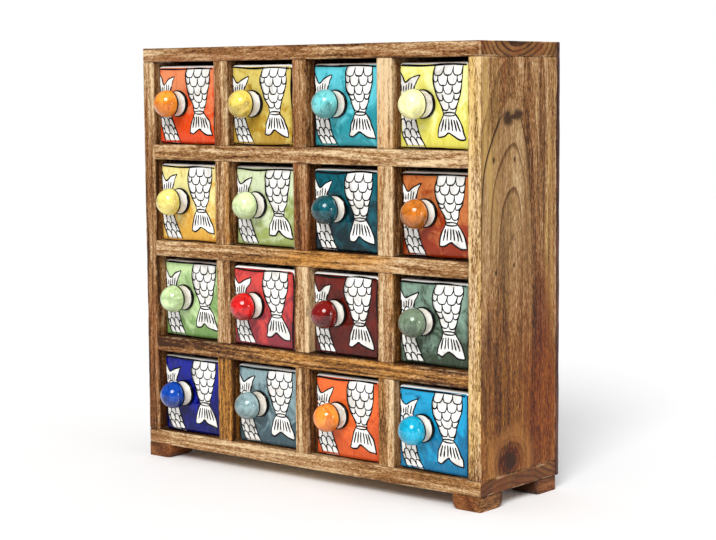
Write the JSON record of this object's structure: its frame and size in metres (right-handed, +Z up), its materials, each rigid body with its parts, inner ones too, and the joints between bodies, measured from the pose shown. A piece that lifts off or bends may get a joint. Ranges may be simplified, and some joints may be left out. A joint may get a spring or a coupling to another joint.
{
  "type": "spice drawer cabinet",
  "caption": "Tabletop wooden cabinet with a grid of open compartments, each holding a glazed ceramic drawer with a ball knob.",
  "frame": {"origin": "on the ground under the middle of the whole cabinet with its knobs", "axes": "+X to the right seen from the front, +Y from the front to the back, +Z up"},
  "size_m": [0.305, 0.112, 0.3033],
  "materials": {
    "mango_wood": "oiled mango-like hardwood with open dark pores, worn edges",
    "dark_stained_wood": "thin board, dark stain, matt",
    "zinc_steel": "zinc-plated fixings",
    "nail_steel": "dull steel nails",
    "glaze_tangerine": "hand-painted glossy glaze over white ceramic",
    "glaze_mustard": "hand-painted glossy glaze over white ceramic",
    "glaze_turquoise": "hand-painted glossy glaze over white ceramic",
    "glaze_lemon": "hand-painted glossy glaze over white ceramic",
    "glaze_amber": "hand-painted glossy glaze over white ceramic",
    "glaze_pale_green": "hand-painted glossy glaze over white ceramic",
    "glaze_teal": "hand-painted glossy glaze over white ceramic",
    "glaze_rust": "hand-painted glossy glaze over white ceramic",
    "glaze_apple_green": "hand-painted glossy glaze over white ceramic",
    "glaze_red": "hand-painted glossy glaze over white ceramic",
    "glaze_oxblood": "hand-painted glossy glaze over white ceramic",
    "glaze_sage": "hand-painted glossy glaze over white ceramic",
    "glaze_cobalt": "hand-painted glossy glaze over white ceramic",
    "glaze_slate": "hand-painted glossy glaze over white ceramic",
    "glaze_orange": "hand-painted glossy glaze over white ceramic",
    "glaze_sky": "hand-painted glossy glaze over white ceramic"
  },
  "bodies": {
    "cabinet": {"top_panel": "mango_wood", "bottom_panel": "mango_wood", "side_panel_left": "mango_wood", "side_panel_right": "mango_wood", "back_panel": "dark_stained_wood", "shelf_1": "mango_wood", "shelf_2": "mango_wood", "shelf_3": "mango_wood", "dividers": "mango_wood", "feet": "mango_wood", "foot_screws": "zinc_steel", "back_panel_nails": "nail_steel"},
    "drawer_row1_col1": {"drawer_row1_col1": "glaze_tangerine", "knob_row1_col1": "glaze_tangerine", "knob_fixing_row1_col1": "zinc_steel"},
    "drawer_row1_col2": {"drawer_row1_col2": "glaze_mustard", "knob_row1_col2": "glaze_mustard", "knob_fixing_row1_col2": "zinc_steel"},
    "drawer_row1_col3": {"drawer_row1_col3": "glaze_turquoise", "knob_row1_col3": "glaze_turquoise", "knob_fixing_row1_col3": "zinc_steel"},
    "drawer_row1_col4": {"drawer_row1_col4": "glaze_lemon", "knob_row1_col4": "glaze_lemon", "knob_fixing_row1_col4": "zinc_steel"},
    "drawer_row2_col1": {"drawer_row2_col1": "glaze_amber", "knob_row2_col1": "glaze_amber", "knob_fixing_row2_col1": "zinc_steel"},
    "drawer_row2_col2": {"drawer_row2_col2": "glaze_pale_green", "knob_row2_col2": "glaze_pale_green", "knob_fixing_row2_col2": "zinc_steel"},
    "drawer_row2_col3": {"drawer_row2_col3": "glaze_teal", "knob_row2_col3": "glaze_teal", "knob_fixing_row2_col3": "zinc_steel"},
    "drawer_row2_col4": {"drawer_row2_col4": "glaze_rust", "knob_row2_col4": "glaze_rust", "knob_fixing_row2_col4": "zinc_steel"},
    "drawer_row3_col1": {"drawer_row3_col1": "glaze_apple_green", "knob_row3_col1": "glaze_apple_green", "knob_fixing_row3_col1": "zinc_steel"},
    "drawer_row3_col2": {"drawer_row3_col2": "glaze_red", "knob_row3_col2": "glaze_red", "knob_fixing_row3_col2": "zinc_steel"},
    "drawer_row3_col3": {"drawer_row3_col3": "glaze_oxblood", "knob_row3_col3": "glaze_oxblood", "knob_fixing_row3_col3": "zinc_steel"},
    "drawer_row3_col4": {"drawer_row3_col4": "glaze_sage", "knob_row3_col4": "glaze_sage", "knob_fixing_row3_col4": "zinc_steel"},
    "drawer_row4_col1": {"drawer_row4_col1": "glaze_cobalt", "knob_row4_col1": "glaze_cobalt", "knob_fixing_row4_col1": "zinc_steel"},
    "drawer_row4_col2": {"drawer_row4_col2": "glaze_slate", "knob_row4_col2": "glaze_slate", "knob_fixing_row4_col2": "zinc_steel"},
    "drawer_row4_col3": {"drawer_row4_col3": "glaze_orange", "knob_row4_col3": "glaze_orange", "knob_fixing_row4_col3": "zinc_steel"},
    "drawer_row4_col4": {"drawer_row4_col4": "glaze_sky", "knob_row4_col4": "glaze_sky", "knob_fixing_row4_col4": "zinc_steel"}
  },
  "joints": [
    {"name": "drawer_slide_row1_col1", "type": "slide", "parent": "cabinet", "child": "drawer_row1_col1", "axis": [0, -1, 0], "range_m": [-0.0037, 0.055]},
    {"name": "drawer_slide_row1_col2", "type": "slide", "parent": "cabinet", "child": "drawer_row1_col2", "axis": [0, -1, 0], "range_m": [-0.0047, 0.055]},
    {"name": "drawer_slide_row1_col3", "type": "slide", "parent": "cabinet", "child": "drawer_row1_col3", "axis": [0, -1, 0], "range_m": [-0.0019, 0.055]},
    {"name": "drawer_slide_row1_col4", "type": "slide", "parent": "cabinet", "child": "drawer_row1_col4", "axis": [0, -1, 0], "range_m": [-0.0022, 0.055]},
    {"name": "drawer_slide_row2_col1", "type": "slide", "parent": "cabinet", "child": "drawer_row2_col1", "axis": [0, -1, 0], "range_m": [-0.0032, 0.055]},
    {"name": "drawer_slide_row2_col2", "type": "slide", "parent": "cabinet", "child": "drawer_row2_col2", "axis": [0, -1, 0], "range_m": [-0.0017, 0.055]},
    {"name": "drawer_slide_row2_col3", "type": "slide", "parent": "cabinet", "child": "drawer_row2_col3", "axis": [0, -1, 0], "range_m": [-0.0028, 0.055]},
    {"name": "drawer_slide_row2_col4", "type": "slide", "parent": "cabinet", "child": "drawer_row2_col4", "axis": [0, -1, 0], "range_m": [-0.0003, 0.055]},
    {"name": "drawer_slide_row3_col1", "type": "slide", "parent": "cabinet", "child": "drawer_row3_col1", "axis": [0, -1, 0], "range_m": [-0.0008, 0.055]},
    {"name": "drawer_slide_row3_col2", "type": "slide", "parent": "cabinet", "child": "drawer_row3_col2", "axis": [0, -1, 0], "range_m": [-0.0055, 0.055]},
    {"name": "drawer_slide_row3_col3", "type": "slide", "parent": "cabinet", "child": "drawer_row3_col3", "axis": [0, -1, 0], "range_m": [-0.0043, 0.055]},
    {"name": "drawer_slide_row3_col4", "type": "slide", "parent": "cabinet", "child": "drawer_row3_col4", "axis": [0, -1, 0], "range_m": [-0.003, 0.055]},
    {"name": "drawer_slide_row4_col1", "type": "slide", "parent": "cabinet", "child": "drawer_row4_col1", "axis": [0, -1, 0], "range_m": [-0.0025, 0.055]},
    {"name": "drawer_slide_row4_col2", "type": "slide", "parent": "cabinet", "child": "drawer_row4_col2", "axis": [0, -1, 0], "range_m": [-0.002, 0.055]},
    {"name": "drawer_slide_row4_col3", "type": "slide", "parent": "cabinet", "child": "drawer_row4_col3", "axis": [0, -1, 0], "range_m": [-0.0029, 0.055]},
    {"name": "drawer_slide_row4_col4", "type": "slide", "parent": "cabinet", "child": "drawer_row4_col4", "axis": [0, -1, 0], "range_m": [-0.004, 0.055]}
  ]
}
